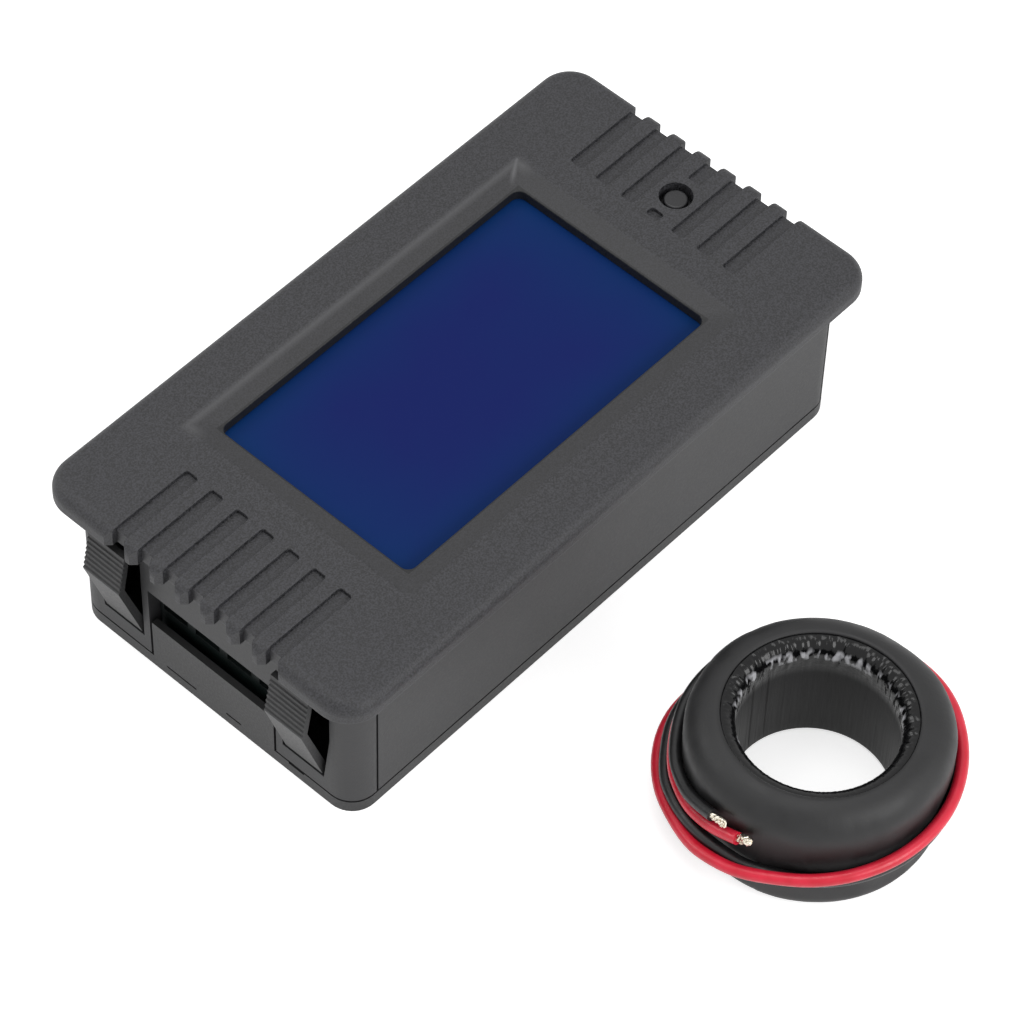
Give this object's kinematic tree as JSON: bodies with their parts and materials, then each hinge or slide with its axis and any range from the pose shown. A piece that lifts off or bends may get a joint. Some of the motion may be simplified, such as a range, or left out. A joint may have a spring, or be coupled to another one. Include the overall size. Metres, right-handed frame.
{
  "type": "ac power meter",
  "caption": "Flush panel energy meter with a recessed display, snap clips, a rear terminal block and a separate split-lead ring current sensor.",
  "frame": {"origin": "centre of the meter's flat back face, on the surface that the meter and the sensor lie on", "axes": "+X along the meter towards the setting button, -X end holds the wire window; +Z out of the display; the ring sensor stands on the same surface on the -Y side"},
  "size_m": [0.0902, 0.1001, 0.0248],
  "materials": {
    "case_plastic": "fine moulded texture",
    "cover_plastic": "fine moulded texture",
    "button_plastic": "satin",
    "display_film": "satin polariser",
    "display_glass": "polished",
    "light_guide": "milky",
    "tinned_metal": "tinned",
    "board_laminate": "solder mask",
    "steel": "zinc plated",
    "chip_epoxy": "moulded",
    "capacitor_box": "moulded",
    "crystal_can": "drawn",
    "capacitor_sleeve": "shrink sleeve",
    "varistor_coat": "dipped epoxy",
    "resistor_coat": "flameproof coat",
    "switch_plastic": "moulded",
    "spring_steel": "bright",
    "terminal_plastic": "moulded",
    "terminal_brass": "nickel plated",
    "tape": "satin film",
    "magnet_wire": "enamelled copper",
    "core_alloy": "wound alloy strip",
    "red_insulation": "smooth",
    "black_insulation": "smooth"
  },
  "bodies": {
    "meter": {"front_case": "case_plastic", "back_cover": "cover_plastic", "switch_body": "switch_plastic", "switch_lid": "spring_steel", "switch_dome": "spring_steel", "display_film": "display_film", "display_glass": "display_glass", "light_guide": "light_guide", "display_pins": "tinned_metal", "circuit_board": "board_laminate", "board_screws": "steel", "controller_chip": "chip_epoxy", "metering_chip": "chip_epoxy", "memory_chip": "chip_epoxy", "display_driver_chip": "chip_epoxy", "film_capacitor": "capacitor_box", "crystal": "crystal_can", "smoothing_capacitor_1": "capacitor_sleeve", "smoothing_capacitor_2": "capacitor_sleeve", "surge_varistor": "varistor_coat", "dropper_resistor": "resistor_coat", "burden_resistors": "chip_epoxy", "terminal_block": "terminal_plastic", "terminal_contacts": "terminal_brass"},
    "button": {"button_cap": "button_plastic"},
    "plunger": {"switch_plunger": "switch_plastic"},
    "clip_1": {"snap_clip_1": "case_plastic"},
    "screw_1": {"clamp_screw_1": "steel"},
    "cage_1": {"clamp_cage_1": "terminal_brass"},
    "clip_2": {"snap_clip_2": "case_plastic"},
    "screw_2": {"clamp_screw_2": "steel"},
    "cage_2": {"clamp_cage_2": "terminal_brass"},
    "clip_3": {"snap_clip_3": "case_plastic"},
    "screw_3": {"clamp_screw_3": "steel"},
    "cage_3": {"clamp_cage_3": "terminal_brass"},
    "clip_4": {"snap_clip_4": "case_plastic"},
    "screw_4": {"clamp_screw_4": "steel"},
    "cage_4": {"clamp_cage_4": "terminal_brass"},
    "sensor": {"outer_tape": "tape", "bore_tape": "tape", "lead_patch": "tape", "sensor_winding": "magnet_wire", "sensor_core": "core_alloy", "red_lead": "red_insulation", "black_lead": "black_insulation", "red_lead_strands": "tinned_metal", "black_lead_strands": "tinned_metal"}
  },
  "joints": [
    {"name": "clip_1_flex", "type": "hinge", "parent": "meter", "child": "clip_1", "pos_m": [-0.04145, -0.0144, 0.005], "axis": [0, 1, 0], "range_deg": [0, 18], "stiffness_Nm_per_rad": 0.3},
    {"name": "clip_2_flex", "type": "hinge", "parent": "meter", "child": "clip_2", "pos_m": [-0.04145, 0.0144, 0.005], "axis": [0, 1, 0], "range_deg": [0, 18], "stiffness_Nm_per_rad": 0.3},
    {"name": "clip_3_flex", "type": "hinge", "parent": "meter", "child": "clip_3", "pos_m": [0.04145, -0.0144, 0.005], "axis": [0, -1, 0], "range_deg": [0, 18], "stiffness_Nm_per_rad": 0.3},
    {"name": "clip_4_flex", "type": "hinge", "parent": "meter", "child": "clip_4", "pos_m": [0.04145, 0.0144, 0.005], "axis": [0, -1, 0], "range_deg": [0, 18], "stiffness_Nm_per_rad": 0.3},
    {"name": "button_press", "type": "slide", "parent": "meter", "child": "button", "axis": [0, 0, -1], "range_m": [0, 0.0003], "stiffness_N_per_m": 600},
    {"name": "plunger_press", "type": "slide", "parent": "meter", "child": "plunger", "axis": [0, 0, -1], "range_m": [0, 0.0003], "stiffness_N_per_m": 600},
    {"name": "screw_1_turn", "type": "hinge", "parent": "meter", "child": "screw_1", "pos_m": [-0.0358, -0.00762, 0.0025], "axis": [0, 0, 1], "range_deg": [0, 2160]},
    {"name": "cage_1_slide", "type": "slide", "parent": "meter", "child": "cage_1", "axis": [0, 0, -1], "range_m": [0, 0.0027]},
    {"name": "screw_2_turn", "type": "hinge", "parent": "meter", "child": "screw_2", "pos_m": [-0.0358, -0.00254, 0.0025], "axis": [0, 0, 1], "range_deg": [0, 2160]},
    {"name": "cage_2_slide", "type": "slide", "parent": "meter", "child": "cage_2", "axis": [0, 0, -1], "range_m": [0, 0.0027]},
    {"name": "screw_3_turn", "type": "hinge", "parent": "meter", "child": "screw_3", "pos_m": [-0.0358, 0.00254, 0.0025], "axis": [0, 0, 1], "range_deg": [0, 2160]},
    {"name": "cage_3_slide", "type": "slide", "parent": "meter", "child": "cage_3", "axis": [0, 0, -1], "range_m": [0, 0.0027]},
    {"name": "screw_4_turn", "type": "hinge", "parent": "meter", "child": "screw_4", "pos_m": [-0.0358, 0.00762, 0.0025], "axis": [0, 0, 1], "range_deg": [0, 2160]},
    {"name": "cage_4_slide", "type": "slide", "parent": "meter", "child": "cage_4", "axis": [0, 0, -1], "range_m": [0, 0.0027]},
    {"name": "sensor_lift", "type": "slide", "parent": "meter", "child": "sensor", "axis": [0, 0, 1], "range_m": [0, 0.05]}
  ],
  "couplings": [
    {"joint": "plunger_press", "follows": "button_press", "ratio": 1},
    {"joint": "screw_1_turn", "follows": "cage_1_slide", "rad_per_m": 13963},
    {"joint": "screw_2_turn", "follows": "cage_2_slide", "rad_per_m": 13963},
    {"joint": "screw_3_turn", "follows": "cage_3_slide", "rad_per_m": 13963},
    {"joint": "screw_4_turn", "follows": "cage_4_slide", "rad_per_m": 13963}
  ]
}
